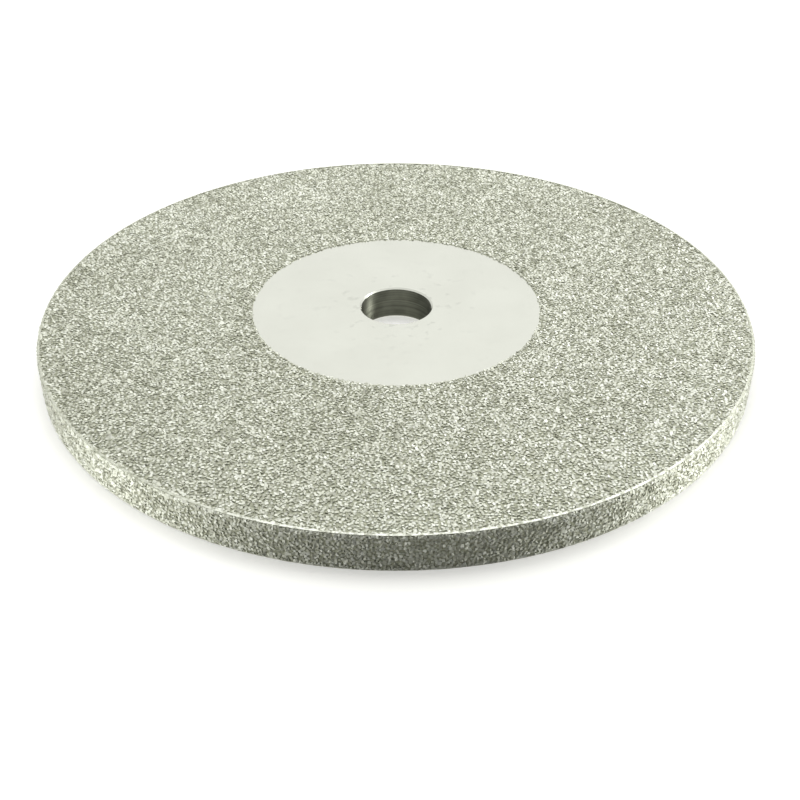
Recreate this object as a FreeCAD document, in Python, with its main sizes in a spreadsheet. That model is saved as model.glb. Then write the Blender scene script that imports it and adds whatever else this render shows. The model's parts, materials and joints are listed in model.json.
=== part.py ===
# Diamond lapidary disc: a turned steel blank with a plated layer of diamond grit
#
# Both pieces are turned shapes about Z. The disc lies flat on its layer, with the origin on the bore's
# axis at the level it rests on. All sizes are in millimetres and start from the cells of one sheet.
import FreeCAD
import Part
import Sketcher
import os

PARTS_FOLDER = "parts"
FULL_TURN = 360
SAME_PLACE = 1e-4

# Driving dimensions, each with what it measures
SIZES = [
    ("blank_diameter", 99.5, "outside of the steel blank"),
    ("blank_thickness", 4.8, "steel blank, face to face"),
    ("rim_round", 0.2, "edge break round the blank's rim"),
    ("bore_diameter", 10.0, "hole for the arbor"),
    ("bore_chamfer", 0.2, "bevel at both mouths of the bore"),
    ("bare_diameter", 41.0, "masked centre that the flanges clamp"),
    ("layer_thickness", 0.25, "plated nickel and diamond, on the faces and the rim"),
]

# Radii and heights worked out from the cells
BORE_RADIUS = "Sizes.bore_diameter / 2"
BLANK_RADIUS = "Sizes.blank_diameter / 2"
BARE_RADIUS = "Sizes.bare_diameter / 2"
LAYER_RADIUS = "Sizes.blank_diameter / 2 + Sizes.layer_thickness"
REST_HEIGHT = "0 mm"
BLANK_FOOT = "Sizes.layer_thickness"
BLANK_TOP = "Sizes.layer_thickness + Sizes.blank_thickness"
LAYER_TOP = "2 * Sizes.layer_thickness + Sizes.blank_thickness"
LAYER_RIM_ROUND = "Sizes.rim_round + Sizes.layer_thickness"
LAYER_EDGE_ROUND = "Sizes.layer_thickness / 2"


def make_sheet(doc):
    """The sheet of driving dimensions, one row for each: its name, its value and what it measures."""
    sheet = doc.addObject("Spreadsheet::Sheet", "Sizes")
    for row, (name, value, meaning) in enumerate(SIZES, start=1):
        sheet.set(f"A{row}", name)
        sheet.set(f"B{row}", str(value))
        sheet.set(f"C{row}", meaning)
        sheet.setAlias(f"B{row}", name)
    doc.recompute()
    return sheet


def value_of(doc, formula):
    """A formula's value in millimetres, as the document works it out."""
    result = doc.getObject("Sizes").evalExpression(formula)
    return float(getattr(result, "Value", result))


def origin_plane(body, role):
    """One of the body's own origin planes."""
    return next(plane for plane in body.Origin.OriginFeatures if plane.Role == role)


def hold(sketch, axis, corner, value, formula):
    """Holds one corner of an outline at its radius (X) or height (Y), bound to a formula."""
    if formula == REST_HEIGHT:
        sketch.addConstraint(Sketcher.Constraint("PointOnObject", corner, 1, -1))
        return
    held = sketch.addConstraint(Sketcher.Constraint(f"Distance{axis}", -1, 1, corner, 1, value))
    sketch.setExpression(f"Constraints[{held}]", formula)


def closed_outline(doc, sketch, corners):
    """A closed outline of straight lines through corners, each given by its radius and its height."""
    places = [(value_of(doc, radius), value_of(doc, height)) for radius, height in corners]
    for number, place in enumerate(places):
        following = places[(number + 1) % len(places)]
        line = Part.LineSegment(FreeCAD.Vector(*place, 0), FreeCAD.Vector(*following, 0))
        sketch.addGeometry(line, False)
    for number, (radius, height) in enumerate(corners):
        following = (number + 1) % len(corners)
        sketch.addConstraint(Sketcher.Constraint("Coincident", number, 2, following, 1))
        hold(sketch, "X", number, places[number][0], radius)
        hold(sketch, "Y", number, places[number][1], height)


def turned_body(doc, label, corners):
    """A body turned about Z from an outline drawn on its own XZ plane."""
    body = doc.addObject("PartDesign::Body", label)
    body.Label = label
    sketch = body.newObject("Sketcher::SketchObject", f"{label}_outline")
    sketch.AttachmentSupport = [(origin_plane(body, "XZ_Plane"), "")]
    sketch.MapMode = "FlatFace"
    closed_outline(doc, sketch, corners)
    turning = body.newObject("PartDesign::Revolution", f"{label}_turning")
    turning.Profile = sketch
    turning.ReferenceAxis = (sketch, ["V_Axis"])
    turning.Angle = FULL_TURN
    turning.Refine = False
    sketch.Visibility = False
    doc.recompute()
    return body


def circle_edges(doc, shape, radius, heights):
    """Names of the shape's full circles about Z that have this radius and one of these heights."""
    wanted_radius = value_of(doc, radius)
    wanted_heights = [value_of(doc, height) for height in heights]
    names = []
    for number, edge in enumerate(shape.Edges, start=1):
        curve = edge.Curve
        if not isinstance(curve, Part.Circle):
            continue
        height = curve.Center.z
        if abs(curve.Radius - wanted_radius) > SAME_PLACE:
            continue
        if any(abs(height - wanted) < SAME_PLACE for wanted in wanted_heights):
            names.append(f"Edge{number}")
    return names


def dress_edges(doc, body, kind, name, size_property, size, radius, heights):
    """A fillet or chamfer on the circles of one radius at the given heights, its size bound to a formula."""
    base = body.Tip
    dressing = body.newObject(f"PartDesign::{kind}", name)
    dressing.Base = (base, circle_edges(doc, base.Shape, radius, heights))
    dressing.Refine = False
    dressing.setExpression(size_property, size)
    base.Visibility = False
    doc.recompute()
    return dressing


def make_steel_blank(doc):
    """The plain turned disc, with a bore bevelled at both mouths and a broken edge round the rim.

    A split line at the mask's edge makes the bare ring that the flanges clamp a face of its own on each side.
    """
    corners = [
        (BORE_RADIUS, BLANK_FOOT),
        (BARE_RADIUS, BLANK_FOOT),
        (BLANK_RADIUS, BLANK_FOOT),
        (BLANK_RADIUS, BLANK_TOP),
        (BARE_RADIUS, BLANK_TOP),
        (BORE_RADIUS, BLANK_TOP),
    ]
    faces = [BLANK_FOOT, BLANK_TOP]
    body = turned_body(doc, "steel_blank", corners)
    dress_edges(doc, body, "Chamfer", "bore_bevels", "Size", "Sizes.bore_chamfer", BORE_RADIUS, faces)
    dress_edges(doc, body, "Fillet", "rim_breaks", "Radius", "Sizes.rim_round", BLANK_RADIUS, faces)
    return body


def make_diamond_layer(doc):
    """The plated layer: one skin over both faces and the rim of the blank, open over the bare centre."""
    corners = [
        (BARE_RADIUS, REST_HEIGHT),
        (LAYER_RADIUS, REST_HEIGHT),
        (LAYER_RADIUS, LAYER_TOP),
        (BARE_RADIUS, LAYER_TOP),
        (BARE_RADIUS, BLANK_TOP),
        (BLANK_RADIUS, BLANK_TOP),
        (BLANK_RADIUS, BLANK_FOOT),
        (BARE_RADIUS, BLANK_FOOT),
    ]
    blank_faces = [BLANK_FOOT, BLANK_TOP]
    outer_faces = [REST_HEIGHT, LAYER_TOP]
    body = turned_body(doc, "diamond_layer", corners)
    dress_edges(doc, body, "Fillet", "seat_rounds", "Radius", "Sizes.rim_round", BLANK_RADIUS, blank_faces)
    dress_edges(doc, body, "Fillet", "rim_rounds", "Radius", LAYER_RIM_ROUND, LAYER_RADIUS, outer_faces)
    dress_edges(doc, body, "Fillet", "soft_edges", "Radius", LAYER_EDGE_ROUND, BARE_RADIUS, outer_faces)
    return body


def check_document(doc, pieces):
    """Stops the build if any feature failed or any piece isn't one valid closed solid."""
    for feature in doc.Objects:
        if "Invalid" in feature.State or "Error" in feature.State:
            raise RuntimeError(f"{feature.Label} did not build: {feature.State}")
    for piece in pieces:
        shape = piece.Shape
        if shape.isNull() or not shape.isValid() or len(shape.Solids) != 1:
            raise RuntimeError(f"{piece.Label} is not one valid solid")
        print(piece.Label, "volume", round(shape.Volume, 2), "mm3")


def write_parts(pieces):
    """One STEP file for each piece, named after it."""
    os.makedirs(PARTS_FOLDER, exist_ok=True)
    for piece in pieces:
        piece.Shape.exportStep(os.path.join(PARTS_FOLDER, f"{piece.Label}.step"))


def main():
    doc = FreeCAD.newDocument("LapidaryDisc")
    make_sheet(doc)
    pieces = [make_steel_blank(doc), make_diamond_layer(doc)]
    doc.recompute()
    check_document(doc, pieces)
    write_parts(pieces)


main()
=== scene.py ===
# Diamond lapidary disc: the finish of its steel and its grit, with the camera, the light and the floor
import bpy
import bmesh
import json
import math
import random
from mathutils import Matrix, Vector

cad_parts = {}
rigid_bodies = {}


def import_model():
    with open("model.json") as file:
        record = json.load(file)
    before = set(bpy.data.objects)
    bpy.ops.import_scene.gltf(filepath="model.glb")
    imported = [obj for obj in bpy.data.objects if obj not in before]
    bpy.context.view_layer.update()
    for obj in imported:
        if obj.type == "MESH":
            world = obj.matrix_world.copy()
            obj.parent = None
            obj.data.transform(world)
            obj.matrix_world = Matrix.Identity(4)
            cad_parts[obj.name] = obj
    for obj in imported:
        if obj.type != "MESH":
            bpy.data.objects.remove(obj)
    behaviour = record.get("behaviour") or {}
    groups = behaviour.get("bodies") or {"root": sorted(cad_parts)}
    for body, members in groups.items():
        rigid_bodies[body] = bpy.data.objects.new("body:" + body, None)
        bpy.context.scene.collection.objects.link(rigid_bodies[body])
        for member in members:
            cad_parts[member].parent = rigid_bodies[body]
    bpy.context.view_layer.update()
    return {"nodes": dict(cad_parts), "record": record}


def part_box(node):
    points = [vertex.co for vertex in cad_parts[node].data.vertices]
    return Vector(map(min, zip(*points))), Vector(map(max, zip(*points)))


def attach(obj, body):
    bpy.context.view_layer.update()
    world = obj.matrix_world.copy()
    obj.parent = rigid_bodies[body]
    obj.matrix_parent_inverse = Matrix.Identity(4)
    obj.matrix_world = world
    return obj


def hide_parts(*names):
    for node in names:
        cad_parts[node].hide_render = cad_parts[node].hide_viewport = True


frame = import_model()

MM = 0.001
SAME_PLACE = 0.001 * MM  # sizes that differ by less are the same

# Sizes read from the frame
layer_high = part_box("diamond_layer")[1]
blank_low, blank_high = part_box("steel_blank")
arbor = next(m for m in frame["record"]["mounts"] if m["name"] == "arbor_bore")
layer_points = [vertex.co for vertex in frame["nodes"]["diamond_layer"].data.vertices]

OUTER_R = layer_high.x
TOP_Z = layer_high.z
BLANK_R = blank_high.x
BLANK_FOOT = blank_low.z
BLANK_TOP = blank_high.z
LAYER_THICK = TOP_Z - BLANK_TOP
BARE_R = min(math.hypot(p.x, p.y) for p in layer_points)
FLAT_R = max(math.hypot(p.x, p.y) for p in layer_points if p.z > TOP_Z - SAME_PLACE)
RIM_ROUND = OUTER_R - FLAT_R
EDGE_BREAK = RIM_ROUND - LAYER_THICK
BORE_R = arbor["dims"]["r_mm"] * MM
BEVEL = (BLANK_TOP - BLANK_FOOT - arbor["dims"]["length_mm"] * MM) / 2
BEVEL_R = BORE_R + BEVEL

# How finely round shapes are made
TURNS = 256  # segments round a turned piece
ARC_STEPS = 8  # segments in a quarter of a round

# The plated layer, seen close
BOND_DEPTH = 0.22 * MM  # how far the nickel lies below the tips of the grains
BOND_SLOPE = 0.5  # width of its inner edge's slope, in bond depths
BEND_ANGLES = (28, 14, 0)  # where the nickel bends from the bead to the rim, in degrees
GRIT_INSET = 0.3  # from the bare centre's edge to the first grains, in grain radii

# The grains
GRAIN_R = 0.245 * MM  # half of an average grain's width
GRAIN_SIZES = (0.78, 1.2)  # the smallest and the largest grain, in average ones
GRAIN_SHAPE = (0.84, 0.74, 0.46)  # half sides of a crystal, in grain radii
CORNER_REACH = (0.6, 1.15)  # how far out a crystal's corner may lie, in half sides
GRAIN_FORMS = 9  # different crystals
GRAIN_TILT = 0.45  # most that a grain leans, in radians
GRAIN_SINK = 0.84  # how far a grain's middle lies below the tips, in grain radii
GRAIN_SPACING = 0.34 * MM  # least distance between two grains' centres
CROWDING = 4.0  # grains tried on a square as wide as that distance

# The bead of nickel along each edge of the rim, flat on top; its pale colour is a painted highlight
BEAD_WIDTH = 0.26 * MM
BEAD_DROP = 0.042 * MM  # how far it lies below the tips of the grains
BEAD_FALL = 0.03 * MM  # how much lower its outer side lies
BEAD_RISE = 0.04 * MM  # width of the slope up to it
BEAD_INSET = 0.02 * MM  # how far inside the flat face's edge it starts
BEAD_START_R = FLAT_R - BEAD_INSET
BEAD_END_R = BEAD_START_R + BEAD_WIDTH
BEAD_LEVEL = TOP_Z / 2 - 3 * BEAD_DROP  # height above the disc's middle from which nickel looks like it
BEAD_FADE = 0.02 * MM  # width over which that look comes in
BEAD_HIGHLIGHT_SIDE = (0.26, -0.966, 0)  # the side towards the camera, on which its painted highlight is brightest
BEAD_HIGHLIGHT_REACH = (0.7 * OUTER_R, 0.86 * OUTER_R)  # towards that side, where the painted highlight starts to brighten and is brightest

# Colours, each list from the darkest to the palest
STEEL_COLOURS = [(0.3, (0.76, 0.772, 0.69)), (0.7, (0.79, 0.803, 0.72))]
# the colour of the marks near the bore, and of the painted shade on the bore's bevel
MARK_AND_SHADE_COLOUR = (0.63, 0.64, 0.57)
# the bore's wall, painted dark as the shade inside the hole
BORE_SHADE_COLOURS = [(0.35, (0.10, 0.106, 0.08)), (0.65, (0.24, 0.247, 0.195))]
BOND_COLOURS = [(0.3, (0.19, 0.198, 0.143)), (0.7, (0.39, 0.40, 0.302))]
# the bead's pale colour, a painted highlight along the rim's edges
BEAD_HIGHLIGHT_COLOUR = (0.82, 0.84, 0.75)
GRAIN_COLOURS = [
    (0.0, (0.33, 0.336, 0.26)),
    (0.2, (0.46, 0.47, 0.38)),
    (0.6, (0.62, 0.635, 0.53)),
    (1.0, (0.73, 0.745, 0.66)),
]
FLOOR_GLOW = (1, 1, 0.965)
FLOOR_SHADE = (0.55, 0.55, 0.53)

# Finish of the surfaces, with each roughness given for both ends of NOISE_RANGE
NOISE_RANGE = (0.3, 0.7)  # values that most of a noise pattern lies between
STEEL_ROUGHNESS = (0.23, 0.27)
BORE_ROUGHNESS = (0.45, 0.55)
BOND_ROUGHNESS = (0.7, 0.45)
GRAIN_ROUGHNESS = (0.3, 0.5)
MARKED_R = 2.6 * BORE_R  # how far from the axis handling has marked the steel
MARK_STRENGTH = (0.6, 0.1)  # at the bore and at that radius
MARK_SPECKS = (0.6, 0.7)  # noise at which a mark starts and is full
BEVEL_SHADE = 0.9  # how much of that colour the bevel has, as painted shade that dulls its reflection
BEVEL_SHADE_END_R = BORE_R + 1.2 * BEVEL  # where the bevel's painted shade has gone
BEAD_CLUMPS = (0.38, 0.54)  # noise at which the bead starts to show and shows in full
BEAD_LEAST = 0.2  # how much it shows below that
BEAD_AWAY_FROM_HIGHLIGHT = 0.4  # how much it shows away from the side of its painted highlight
BOND_METAL = 0.4  # how metallic the matt nickel is
BEAD_METAL = 0.15
BEAD_POLISH = 0.8  # the bead's roughness, in shares of the matt nickel's
GRAIN_IOR = 1.6
GLINT_TONES = (0.985, 0.99)  # tones at which the palest grains start to glint and glint in full
GLINT_METAL = 0.3
GLINT_RISE = 0.1 * MM  # width over which the glints come in, at the rim

# Random values: the seeds of the crystals, of the sown faces and rim, and of each grain's own values
CRYSTAL_SEED = 100
UPPER_SEED, LOWER_SEED, RIM_SEED = 1, 2, 3
SIZE_SEED, SPIN_SEED, LEAN_X_SEED, LEAN_Y_SEED, FORM_SEED, TONE_SEED = range(11, 17)

TONE = "tone"  # attribute that holds each grain's tone, from dark (0) to pale (1)
TONE_PATCHES = 0.5  # how far the tone drifts from place to place

GRIT_INPUTS = [
    ("Skin", "NodeSocketGeometry"),
    ("Crystals", "NodeSocketCollection"),
    ("Grain Radius", "NodeSocketFloat"),
    ("Spacing", "NodeSocketFloat"),
    ("Tilt", "NodeSocketFloat"),
    ("Right Half", "NodeSocketBool"),
    ("Both Halves", "NodeSocketBool"),
    ("Seed", "NodeSocketInt"),
    ("Material", "NodeSocketMaterial"),
]

# Camera, from the rims of the disc in the 800 pixel frame
PHOTO_SIDE = 800
FOCAL_PX = 1179.8
FACE_CENTRE_PX = (396.3, 303.9)
CAMERA_ELEVATION = math.radians(30.14)
CAMERA_DISTANCE = 3.387 * OUTER_R
SENSOR_MM = 36.0
CLIP_START = 0.01

# Floor and room
FLOOR_REACH = 40 * OUTER_R
GLOW_REACH = (3 * OUTER_R, 10 * OUTER_R)  # where the floor's glow starts to rise and is full
GLOW_STRENGTH = (0.52, 1.0)  # near the disc and far away
FLOOR_BOUNCE = (0.02, 0.02, 0.02)  # what the floor throws back at the disc
ROOM_FILL = 0.01  # light that the room itself gives


def new_object(name, data):
    """An object in the scene's own collection."""
    piece = bpy.data.objects.new(name, data)
    bpy.context.scene.collection.objects.link(piece)
    return piece


# Nodes

def add(tree, kind, inputs=None, **settings):
    """Adds a node with its properties and its inputs, which are plain values or other nodes' outputs."""
    node = tree.nodes.new(kind)
    for key, value in settings.items():
        setattr(node, key, value)
    for key, value in (inputs or {}).items():
        if isinstance(value, bpy.types.NodeSocket):
            tree.links.new(value, node.inputs[key])
        else:
            node.inputs[key].default_value = value
    return node


def worked_out(tree, operation, *values):
    """What a math node makes of one or two values."""
    return add(tree, "ShaderNodeMath", dict(enumerate(values)), operation=operation).outputs[0]


def mapped(tree, value, low, high, to_low, to_high):
    """A value stretched from one range to another and held inside it."""
    ranges = {"Value": value, "From Min": low, "From Max": high, "To Min": to_low, "To Max": to_high}
    return add(tree, "ShaderNodeMapRange", ranges).outputs["Result"]


def ramp(tree, value, stops):
    """A colour ramp through (position, colour) stops."""
    node = add(tree, "ShaderNodeValToRGB", {"Fac": value})
    band = node.color_ramp
    while len(band.elements) < len(stops):
        band.elements.new(0.5)
    for element, (position, colour) in zip(band.elements, stops):
        element.position = position
        element.color = (*colour, 1)
    return node.outputs["Color"]


def tinted(tree, share, pattern, colour):
    """A colour pattern that gives way to one plain colour, by a share from 0 to 1."""
    inputs = {"Factor": share, "A": pattern, "B": (*colour, 1)}
    return add(tree, "ShaderNodeMix", inputs, data_type="RGBA").outputs["Result"]


def noise(tree, place, scale, detail=2):
    """A noise pattern in space."""
    inputs = {"Vector": place, "Scale": scale, "Detail": detail}
    return add(tree, "ShaderNodeTexNoise", inputs).outputs["Fac"]


def noise_along(tree, value, scale, detail=2):
    """A noise pattern along one value, for rings and tool marks."""
    inputs = {"W": value, "Scale": scale, "Detail": detail}
    return add(tree, "ShaderNodeTexNoise", inputs, noise_dimensions="1D").outputs["Fac"]


def bumped(tree, pattern, strength, distance):
    """The surface's direction, roughened by a pattern."""
    inputs = {"Height": pattern, "Strength": strength, "Distance": distance}
    return add(tree, "ShaderNodeBump", inputs).outputs["Normal"]


def place_on_piece(tree):
    """Where the shaded point lies on its piece."""
    return add(tree, "ShaderNodeTexCoord").outputs["Object"]


def distance_from_axis(tree, place):
    """The radius at which a point lies."""
    flat = add(tree, "ShaderNodeVectorMath", {0: place, 1: (1, 1, 0)}, operation="MULTIPLY")
    length = add(tree, "ShaderNodeVectorMath", {0: flat.outputs["Vector"]}, operation="LENGTH")
    return length.outputs["Value"]


def height_of(tree, place):
    """The height at which a point lies."""
    return add(tree, "ShaderNodeSeparateXYZ", {0: place}).outputs["Z"]


# Materials

def new_material(name):
    """A material and its node tree, still empty."""
    material = bpy.data.materials.new(name)
    material.use_nodes = True
    material.node_tree.nodes.clear()
    return material, material.node_tree


def give_surface(tree, inputs):
    """Ends a material with one Principled shader."""
    shader = add(tree, "ShaderNodeBsdfPrincipled", inputs)
    add(tree, "ShaderNodeOutputMaterial", {"Surface": shader.outputs["BSDF"]})


def turned_steel():
    """Bright turned steel: satin faces, nearly white, with faint rings, a few marks near the bore and
    painted shade on the bore's bevel.
    """
    material, tree = new_material("turned_steel")
    place = place_on_piece(tree)
    radius = distance_from_axis(tree, place)
    smudge = noise(tree, place, scale=150, detail=3)
    specks = noise(tree, place, scale=750)
    rings = noise_along(tree, radius, scale=5200, detail=1)
    handled = mapped(tree, radius, BORE_R, MARKED_R, *MARK_STRENGTH)
    marked = mapped(tree, specks, *MARK_SPECKS, 0, 1)
    # painted shade: the bevel is darkened to dull its reflection, and joins the marks here
    bevel_shade = mapped(tree, radius, BEVEL_R, BEVEL_SHADE_END_R, BEVEL_SHADE, 0)
    marks = worked_out(tree, "MAXIMUM", bevel_shade, worked_out(tree, "MULTIPLY", handled, marked))
    give_surface(tree, {
        "Base Color": tinted(tree, marks, ramp(tree, smudge, STEEL_COLOURS), MARK_AND_SHADE_COLOUR),
        "Metallic": 1.0,
        "Roughness": mapped(tree, smudge, *NOISE_RANGE, *STEEL_ROUGHNESS),
        "Normal": bumped(tree, rings, strength=0.15, distance=0.01 * MM),
    })
    return material


def bored_steel():
    """The bore's wall: steel painted dark as the shade inside the hole, with the rings of the boring tool,
    which draw glints out up and down.
    """
    material, tree = new_material("bored_steel")
    place = place_on_piece(tree)
    cuts = noise_along(tree, height_of(tree, place), scale=2600)
    stains = noise(tree, place, scale=420)
    tone = worked_out(tree, "MULTIPLY", worked_out(tree, "ADD", cuts, stains), 0.5)
    round_axis = add(tree, "ShaderNodeTangent", direction_type="RADIAL", axis="Z")
    give_surface(tree, {
        "Base Color": ramp(tree, tone, BORE_SHADE_COLOURS),
        "Metallic": 1.0,
        "Roughness": mapped(tree, stains, *NOISE_RANGE, *BORE_ROUGHNESS),
        "Anisotropic": 1.0,
        "Anisotropic Rotation": 0.25,
        "Tangent": round_axis.outputs["Tangent"],
        "Normal": bumped(tree, cuts, strength=0.5, distance=0.02 * MM),
    })
    return material


def bead_share(tree, place):
    """How much a point of the nickel looks like the bead: 1 where its painted highlight is brightest, 0 away
    from it.
    """
    outer = mapped(tree, distance_from_axis(tree, place), BEAD_START_R - BEAD_FADE, BEAD_START_R, 0, 1)
    from_middle = worked_out(tree, "SUBTRACT", height_of(tree, place), TOP_Z / 2)
    level = worked_out(tree, "ABSOLUTE", from_middle)
    near_face = mapped(tree, level, BEAD_LEVEL - BEAD_FADE / 2, BEAD_LEVEL, 0, 1)
    bared = mapped(tree, noise(tree, place, scale=1500), *BEAD_CLUMPS, BEAD_LEAST, 1)
    # Painted highlight: the bead is paler on the side of the disc towards the camera
    facing = add(tree, "ShaderNodeVectorMath", {0: place, 1: BEAD_HIGHLIGHT_SIDE}, operation="DOT_PRODUCT")
    toward_highlight = mapped(tree, facing.outputs["Value"], *BEAD_HIGHLIGHT_REACH, BEAD_AWAY_FROM_HIGHLIGHT, 1)
    on_bead = worked_out(tree, "MULTIPLY", outer, near_face)
    return worked_out(tree, "MULTIPLY", on_bead, worked_out(tree, "MULTIPLY", bared, toward_highlight))


def nickel_bond():
    """Matt nickel between the grains, grey with a warm green cast.

    Along the disc's two edges it has a bead, pale with a painted highlight that fades away from the side
    towards the camera.
    """
    material, tree = new_material("nickel_bond")
    place = place_on_piece(tree)
    pits = noise(tree, place, scale=5000)
    bead = bead_share(tree, place)
    pitted = mapped(tree, pits, *NOISE_RANGE, *BOND_ROUGHNESS)
    polished = mapped(tree, bead, 0, 1, 1, BEAD_POLISH)
    give_surface(tree, {
        "Base Color": tinted(tree, bead, ramp(tree, pits, BOND_COLOURS), BEAD_HIGHLIGHT_COLOUR),
        "Metallic": mapped(tree, bead, 0, 1, BOND_METAL, BEAD_METAL),
        "Roughness": worked_out(tree, "MULTIPLY", pitted, polished),
        "Normal": bumped(tree, pits, strength=0.5, distance=0.04 * MM),
    })
    return material


def diamond_grit():
    """Diamond grains, each of its own tone: grey to pale, with a warm green cast.

    The palest ones glint on the rim.
    """
    material, tree = new_material("diamond_grit")
    place = place_on_piece(tree)
    tone = add(tree, "ShaderNodeAttribute", attribute_name=TONE).outputs["Fac"]
    chips = noise(tree, place, scale=9000)
    radius = distance_from_axis(tree, place)
    on_rim = mapped(tree, radius, BEAD_START_R, BEAD_START_R + GLINT_RISE, 0, 1)
    glinting = mapped(tree, tone, *GLINT_TONES, 0, GLINT_METAL)
    give_surface(tree, {
        "Base Color": ramp(tree, tone, GRAIN_COLOURS),
        "IOR": GRAIN_IOR,
        "Metallic": worked_out(tree, "MULTIPLY", on_rim, glinting),
        "Roughness": mapped(tree, chips, *NOISE_RANGE, *GRAIN_ROUGHNESS),
        "Normal": bumped(tree, chips, strength=0.35, distance=0.02 * MM),
    })
    return material


# Turned pieces

def lathe(name, profile, closed):
    """A mesh turned about Z from a profile of (radius, height) points, which is closed or left open."""
    form = bmesh.new()
    rings = []
    for turn in range(TURNS):
        angle = math.tau * turn / TURNS
        rings.append([form.verts.new((r * math.cos(angle), r * math.sin(angle), z)) for r, z in profile])
    steps = len(profile) if closed else len(profile) - 1
    for turn in range(TURNS):
        here, there = rings[turn], rings[(turn + 1) % TURNS]
        for step in range(steps):
            after = (step + 1) % len(profile)
            form.faces.new((here[step], there[step], there[after], here[after]))
    bmesh.ops.recalc_face_normals(form, faces=form.faces)
    mesh = bpy.data.meshes.new(name)
    form.to_mesh(mesh)
    form.free()
    return mesh


def arc(centre_r, centre_z, radius, start, end):
    """Points on an arc of a profile, with angles in degrees from outwards (0) to up (90)."""
    points = []
    for step in range(ARC_STEPS + 1):
        angle = math.radians(start + (end - start) * step / ARC_STEPS)
        points.append((centre_r + radius * math.cos(angle), centre_z + radius * math.sin(angle)))
    return points


def rounded_rim(radius, foot, top, rounding):
    """The profile of a rim, from its lower face to its upper one, with both edges rounded."""
    return [
        *arc(radius - rounding, foot + rounding, rounding, -90, 0),
        *arc(radius - rounding, top - rounding, rounding, 0, 90),
    ]


def smooth(mesh, sharp_degrees):
    """Shades a mesh smooth, apart from the edges that bend more than this."""
    mesh.polygons.foreach_set("use_smooth", [True] * len(mesh.polygons))
    mesh.set_sharp_from_angle(angle=math.radians(sharp_degrees))


def make_blank(faces, bore):
    """The steel blank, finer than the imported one: the same outline with its edges just broken."""
    profile = [
        (BORE_R, BLANK_FOOT + BEVEL),
        (BEVEL_R, BLANK_FOOT),
        (BARE_R, BLANK_FOOT),
        *rounded_rim(BLANK_R, BLANK_FOOT, BLANK_TOP, EDGE_BREAK),
        (BARE_R, BLANK_TOP),
        (BEVEL_R, BLANK_TOP),
        (BORE_R, BLANK_TOP - BEVEL),
    ]
    mesh = lathe("blank_turned", profile, closed=True)
    smooth(mesh, sharp_degrees=25)
    mesh.materials.append(faces)
    mesh.materials.append(bore)
    for face in mesh.polygons:
        if math.hypot(face.center.x, face.center.y) < BORE_R + SAME_PLACE:
            face.material_index = 1
    return new_object("blank_turned", mesh)


def beaded_round(centre_z, side):
    """The bond's profile from face to rim, with its bead, at the upper (1) or the lower (-1) edge."""
    low = RIM_ROUND - BOND_DEPTH
    top = RIM_ROUND - BEAD_DROP
    points = [
        (BEAD_START_R - BEAD_RISE, centre_z + side * low),
        (BEAD_START_R, centre_z + side * top),
        (BEAD_END_R, centre_z + side * (top - BEAD_FALL)),
    ]
    for angle in BEND_ANGLES:
        turn = math.radians(angle)
        points.append((FLAT_R + low * math.cos(turn), centre_z + side * low * math.sin(turn)))
    return points


def make_bond(material):
    """The nickel that holds the grains, as one skin over both faces and the rim."""
    inner_r = BARE_R + BOND_SLOPE * BOND_DEPTH
    profile = [
        (BARE_R, BLANK_TOP),
        (inner_r, TOP_Z - BOND_DEPTH),
        *beaded_round(TOP_Z - RIM_ROUND, 1),
        *reversed(beaded_round(RIM_ROUND, -1)),
        (inner_r, BOND_DEPTH),
        (BARE_R, BLANK_FOOT),
        *rounded_rim(BLANK_R, BLANK_FOOT, BLANK_TOP, EDGE_BREAK),
    ]
    mesh = lathe("nickel_bond", profile, closed=True)
    smooth(mesh, sharp_degrees=40)
    mesh.materials.append(material)
    return new_object("nickel_bond", mesh)


# Grit

def crystal(number):
    """One crystal: a block with its eight corners moved about."""
    draw = random.Random(CRYSTAL_SEED + number)
    form = bmesh.new()
    for corner in range(8):
        signs = [1 if corner & bit else -1 for bit in (1, 2, 4)]
        form.verts.new([sign * half * draw.uniform(*CORNER_REACH) for sign, half in zip(signs, GRAIN_SHAPE)])
    bmesh.ops.convex_hull(form, input=form.verts)
    bmesh.ops.triangulate(form, faces=form.faces)
    bmesh.ops.recalc_face_normals(form, faces=form.faces)
    mesh = bpy.data.meshes.new(f"crystal_{number}")
    form.to_mesh(mesh)
    form.free()
    return mesh


def crystal_box():
    """A collection of the crystal forms that the grains are picked from."""
    box = bpy.data.collections.new("crystals")
    bpy.context.scene.collection.children.link(box)
    for number in range(GRAIN_FORMS):
        box.objects.link(bpy.data.objects.new(f"crystal_{number}", crystal(number)))
    return box


def empty_box(box):
    """Takes the crystal forms and their collection out of the scene."""
    for form in list(box.objects):
        bpy.data.objects.remove(form)
    bpy.data.collections.remove(box)


def random_value(tree, kind, low, high, seed):
    """A random value for each grain, between two others."""
    inputs = {"Min": low, "Max": high, "Seed": seed}
    return add(tree, "FunctionNodeRandomValue", inputs, data_type=kind).outputs["Value"]


def sown_points(tree, given):
    """Points sown over the skin, no two nearer than the spacing, each with the skin's direction there."""
    crowd = worked_out(tree, "DIVIDE", CROWDING, worked_out(tree, "POWER", given["Spacing"], 2))
    inputs = {
        "Mesh": given["Skin"],
        "Distance Min": given["Spacing"],
        "Density Max": crowd,
        "Seed": given["Seed"],
    }
    return add(tree, "GeometryNodeDistributePointsOnFaces", inputs, distribute_method="POISSON").outputs


def sunk_points(tree, sown, radius):
    """The sown points moved below the skin, each by its grain's own radius."""
    depth = worked_out(tree, "MULTIPLY", radius, -GRAIN_SINK)
    sink = add(tree, "ShaderNodeVectorMath", {0: sown["Normal"], "Scale": depth}, operation="SCALE")
    inputs = {"Geometry": sown["Points"], "Offset": sink.outputs[0]}
    return add(tree, "GeometryNodeSetPosition", inputs).outputs[0]


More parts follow.
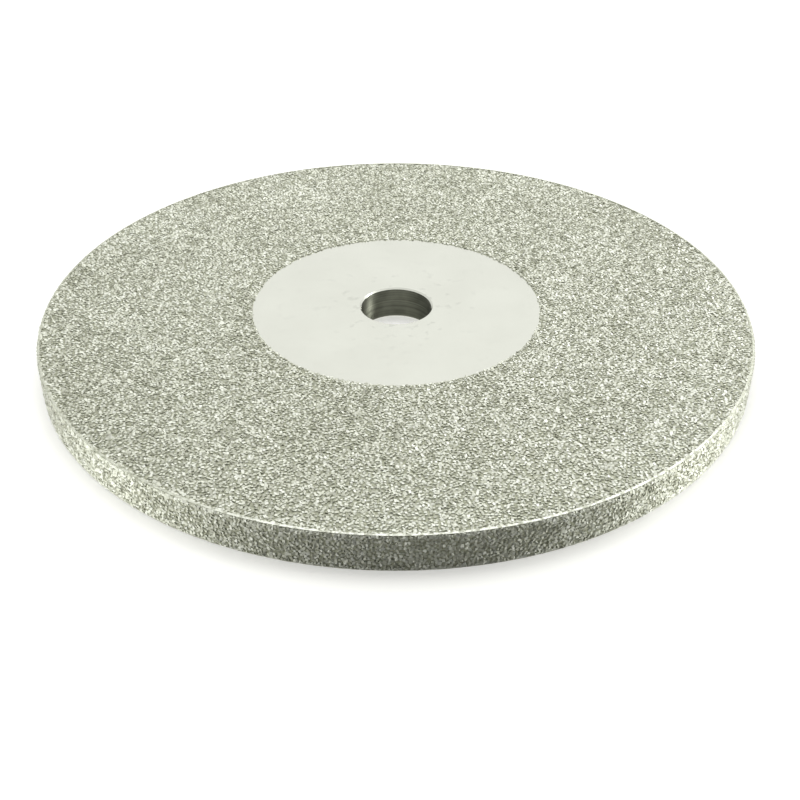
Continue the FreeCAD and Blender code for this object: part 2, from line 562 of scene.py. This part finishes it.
def wanted_points(tree, points, place, given):
    """The points of the half that is asked for, or all of them."""
    across = add(tree, "ShaderNodeSeparateXYZ", {0: place}).outputs["X"]
    on_right = add(tree, "FunctionNodeCompare", {0: across}, data_type="FLOAT", operation="GREATER_THAN")
    inputs = {0: on_right.outputs[0], 1: given["Right Half"]}
    same_half = add(tree, "FunctionNodeBooleanMath", inputs, operation="XNOR")
    inputs = {0: same_half.outputs[0], 1: given["Both Halves"]}
    wanted = add(tree, "FunctionNodeBooleanMath", inputs, operation="OR")
    inputs = {"Geometry": points, "Selection": wanted.outputs[0]}
    return add(tree, "GeometryNodeSeparateGeometry", inputs).outputs["Selection"]


def grain_turn(tree, sown, given):
    """How a grain lies: as the skin does, then leaning two ways and spun, all at random."""
    back = worked_out(tree, "MULTIPLY", given["Tilt"], -1)
    angles = add(tree, "ShaderNodeCombineXYZ", {
        "X": random_value(tree, "FLOAT", back, given["Tilt"], LEAN_X_SEED),
        "Y": random_value(tree, "FLOAT", back, given["Tilt"], LEAN_Y_SEED),
        "Z": random_value(tree, "FLOAT", 0, math.tau, SPIN_SEED),
    })
    own = add(tree, "FunctionNodeEulerToRotation", {0: angles.outputs[0]})
    inputs = {"Rotation": sown["Rotation"], "Rotate By": own.outputs[0]}
    return add(tree, "FunctionNodeRotateRotation", inputs, rotation_space="LOCAL").outputs[0]


def grains_on(tree, points, turn, radius, given):
    """A crystal of a random form on each point."""
    forms = add(tree, "GeometryNodeCollectionInfo", {
        "Separate Children": True,
        "Reset Children": True,
        "Collection": given["Crystals"],
    })
    return add(tree, "GeometryNodeInstanceOnPoints", {
        "Pick Instance": True,
        "Points": points,
        "Instance": forms.outputs[0],
        "Instance Index": random_value(tree, "INT", 0, GRAIN_FORMS - 1, FORM_SEED),
        "Rotation": turn,
        "Scale": radius,
    }).outputs[0]


def toned_grains(tree, grains, place):
    """The grains, each with its own tone at random, a little paler or darker in patches."""
    drift = worked_out(tree, "SUBTRACT", noise(tree, place, scale=70), 0.5)
    patchy = worked_out(tree, "MULTIPLY", drift, TONE_PATCHES)
    shade = worked_out(tree, "ADD", random_value(tree, "FLOAT", 0, 1, TONE_SEED), patchy)
    within = add(tree, "ShaderNodeClamp", {"Value": shade})
    inputs = {"Name": TONE, "Geometry": grains, "Value": within.outputs[0]}
    stored = add(tree, "GeometryNodeStoreNamedAttribute", inputs, data_type="FLOAT", domain="INSTANCE")
    return stored.outputs[0]


def grit_tree():
    """Geometry nodes that sow grains over a skin."""
    tree = bpy.data.node_groups.new("sow_grit", "GeometryNodeTree")
    for name, kind in GRIT_INPUTS:
        tree.interface.new_socket(name, in_out="INPUT", socket_type=kind)
    tree.interface.new_socket("Grit", in_out="OUTPUT", socket_type="NodeSocketGeometry")
    given = add(tree, "NodeGroupInput").outputs
    place = add(tree, "GeometryNodeInputPosition").outputs[0]
    sown = sown_points(tree, given)
    size = random_value(tree, "FLOAT", *GRAIN_SIZES, SIZE_SEED)
    radius = worked_out(tree, "MULTIPLY", given["Grain Radius"], size)
    points = wanted_points(tree, sunk_points(tree, sown, radius), place, given)
    grains = grains_on(tree, points, grain_turn(tree, sown, given), radius, given)
    real = add(tree, "GeometryNodeRealizeInstances", {0: toned_grains(tree, grains, place)})
    inputs = {"Geometry": real.outputs[0], "Material": given["Material"]}
    finished = add(tree, "GeometryNodeSetMaterial", inputs)
    add(tree, "NodeGroupOutput", {0: finished.outputs[0]})
    return tree


def sow_grit(name, skin, tree, crystals, material, seed, half=None):
    """Runs the grit nodes on a skin, or on its left or right half, and keeps the result as a plain mesh."""
    carrier = new_object(name + "_skin", skin)
    modifier = carrier.modifiers.new("grit", "NODES")
    modifier.node_group = tree
    values = {
        "Crystals": crystals,
        "Grain Radius": GRAIN_R,
        "Spacing": GRAIN_SPACING,
        "Tilt": GRAIN_TILT,
        "Right Half": half == "right",
        "Both Halves": half is None,
        "Seed": seed,
        "Material": material,
    }
    for item in tree.interface.items_tree:
        if item.in_out == "INPUT" and item.name in values:
            modifier[item.identifier] = values[item.name]
    seen = carrier.evaluated_get(bpy.context.evaluated_depsgraph_get())
    mesh = bpy.data.meshes.new_from_object(seen)
    mesh.name = name
    bpy.data.objects.remove(carrier)
    return new_object(name, mesh)


def face_up(mesh, sign):
    """Turns a flat skin to face up (1) or down (-1)."""
    if mesh.polygons[0].normal.z * sign < 0:
        mesh.flip_normals()
    return mesh


def face_out(mesh):
    """Turns a rim's skin to face away from the axis."""
    middle = max(mesh.polygons, key=lambda p: p.center.x)
    if middle.normal.x < 0:
        mesh.flip_normals()
    return mesh


def make_grit(material):
    """The grains on both faces, each face in two halves to keep the pieces small, and on the rim."""
    tree = grit_tree()
    crystals = crystal_box()
    inner = BARE_R + GRIT_INSET * GRAIN_R
    faces = [
        ("upper", [(inner, TOP_Z), (FLAT_R, TOP_Z)], 1, UPPER_SEED),
        ("lower", [(FLAT_R, 0), (inner, 0)], -1, LOWER_SEED),
    ]
    pieces = []
    for half in ("left", "right"):
        for side, profile, facing, seed in faces:
            skin = face_up(lathe("skin", profile, closed=False), facing)
            pieces.append(sow_grit(f"grit_{side}_{half}", skin, tree, crystals, material, seed, half))
    skin = face_out(lathe("skin", rounded_rim(OUTER_R, 0, TOP_Z, RIM_ROUND), closed=False))
    pieces.append(sow_grit("grit_rim", skin, tree, crystals, material, RIM_SEED))
    empty_box(crystals)
    return pieces


# Camera, light and floor

def make_camera():
    """The camera of the photograph: it sees the centre of the upper face at FACE_CENTRE_PX."""
    data = bpy.data.cameras.new("camera")
    data.sensor_width = SENSOR_MM
    data.lens = SENSOR_MM * FOCAL_PX / PHOTO_SIDE
    data.clip_start = CLIP_START
    camera = new_object("camera", data)
    back = Vector((0, -math.cos(CAMERA_ELEVATION), math.sin(CAMERA_ELEVATION)))
    camera.location = Vector((0, 0, TOP_Z)) + back * CAMERA_DISTANCE
    aside = FACE_CENTRE_PX[0] - PHOTO_SIDE / 2
    above = PHOTO_SIDE / 2 - FACE_CENTRE_PX[1]
    sight = Vector((aside, above, -FOCAL_PX)).normalized()
    level = Matrix((Vector((1, 0, 0)), back.cross(Vector((1, 0, 0))), back)).transposed()
    pitch = Matrix.Rotation(math.asin(sight.y), 3, "X")
    yaw = Matrix.Rotation(math.atan2(-sight.x, -sight.z), 3, "Y")
    # The camera is turned back by the angles at which it sees the face's centre
    turn = level @ (yaw @ pitch).inverted()
    camera.rotation_euler = turn.to_euler()
    bpy.context.scene.camera = camera


def add_panel(name, centre, aim, size, radiance):
    """A soft box: a flat rectangular lamp that faces a point."""
    data = bpy.data.lights.new(name, "AREA")
    data.shape = "RECTANGLE"
    data.size, data.size_y = size
    data.energy = radiance * math.pi * size[0] * size[1]
    panel = new_object(name, data)
    panel.location = centre
    panel.rotation_euler = (Vector(aim) - Vector(centre)).to_track_quat("-Z", "Y").to_euler()
    panel.visible_camera = False
    return panel


def seen_through(tree):
    """1 for what is seen, straight or in metal or through glass, and 0 for light that falls on things."""
    path = add(tree, "ShaderNodeLightPath").outputs
    seen = worked_out(tree, "MAXIMUM", path["Is Camera Ray"], path["Is Glossy Ray"])
    return worked_out(tree, "MAXIMUM", seen, path["Is Transmission Ray"])


def seen_or_lighting(tree, seen, lighting):
    """One shader for what the camera sees and another for the light that falls on things."""
    inputs = {"Fac": seen_through(tree), 1: lighting.outputs[0], 2: seen.outputs[0]}
    return add(tree, "ShaderNodeMixShader", inputs).outputs[0]


def pale_floor():
    """A floor that looks white but takes the disc's shadow, and throws hardly any light back at the disc."""
    material, tree = new_material("pale_floor")
    radius = distance_from_axis(tree, place_on_piece(tree))
    strength = mapped(tree, radius, *GLOW_REACH, *GLOW_STRENGTH)
    glow = add(tree, "ShaderNodeEmission", {"Color": (*FLOOR_GLOW, 1), "Strength": strength})
    shade = add(tree, "ShaderNodeBsdfDiffuse", {"Color": (*FLOOR_SHADE, 1)})
    seen = add(tree, "ShaderNodeAddShader", {0: glow.outputs[0], 1: shade.outputs[0]})
    bounce = add(tree, "ShaderNodeBsdfDiffuse", {"Color": (*FLOOR_BOUNCE, 1)})
    add(tree, "ShaderNodeOutputMaterial", {"Surface": seen_or_lighting(tree, seen, bounce)})
    return material


def make_floor():
    """A wide flat floor under the disc."""
    mesh = bpy.data.meshes.new("floor")
    corners = [(-1, -1), (1, -1), (1, 1), (-1, 1)]
    points = [(FLOOR_REACH * x, FLOOR_REACH * y, 0) for x, y in corners]
    mesh.from_pydata(points, [], [(0, 1, 2, 3)])
    mesh.materials.append(pale_floor())
    new_object("floor", mesh)


def make_world():
    """A white room to look at, which gives hardly any light itself."""
    world = bpy.data.worlds.new("room")
    world.use_nodes = True
    tree = world.node_tree
    tree.nodes.clear()
    white = add(tree, "ShaderNodeBackground", {"Color": (1, 1, 1, 1), "Strength": 1.0})
    fill = add(tree, "ShaderNodeBackground", {"Color": (1, 1, 1, 1), "Strength": ROOM_FILL})
    add(tree, "ShaderNodeOutputWorld", {"Surface": seen_or_lighting(tree, white, fill)})
    bpy.context.scene.world = world


def make_lights():
    """A wide panel overhead, and a panel and a low lamp at each side, which light without a glare.

    The one overhead is set back, so that the rim's front stays dark. A narrow strip behind the right makes
    only the glint in the bore.
    """
    # Places on the rim halfway between its front and its sides, and the size of the low lamps near them
    flank = 0.7 * OUTER_R
    left_flank = (-flank, -flank, TOP_Z / 2)
    right_flank = (flank, -flank, TOP_Z / 2)
    lamp = (0.02, 0.005)
    middle = (0, 0, 0)
    panels = [
        add_panel("panel_over", (0, 0.28, 0.5), aim=(0, 0.28, 0), size=(0.7, 0.6), radiance=5.2),
        add_panel("panel_left", (-0.36, -0.03, 0.08), aim=middle, size=(0.34, 0.14), radiance=0.6),
        add_panel("panel_right", (0.38, 0.0, 0.09), aim=middle, size=(0.16, 0.16), radiance=1.2),
        add_panel("panel_low_left", (-0.056, -0.066, 0.0035), aim=left_flank, size=lamp, radiance=70),
        add_panel("panel_low_right", (0.06, -0.055, 0.0035), aim=right_flank, size=lamp, radiance=62),
    ]
    for panel in panels:
        panel.visible_glossy = False
    strip = add_panel("panel_strip", (0.25, 0.12, 0.28), aim=middle, size=(0.05, 0.1), radiance=85)
    strip.visible_diffuse = False


def main():
    make_camera()
    make_world()
    make_lights()
    make_floor()
    blank = make_blank(turned_steel(), bored_steel())
    bond = make_bond(nickel_bond())
    grit = make_grit(diamond_grit())
    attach(blank, "root")
    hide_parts("steel_blank")
    for piece in [bond, *grit]:
        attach(piece, "root")
        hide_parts("diamond_layer")
        print(piece.name, len(piece.data.polygons), "faces")
    bpy.context.scene.view_settings.view_transform = "Standard"


main()
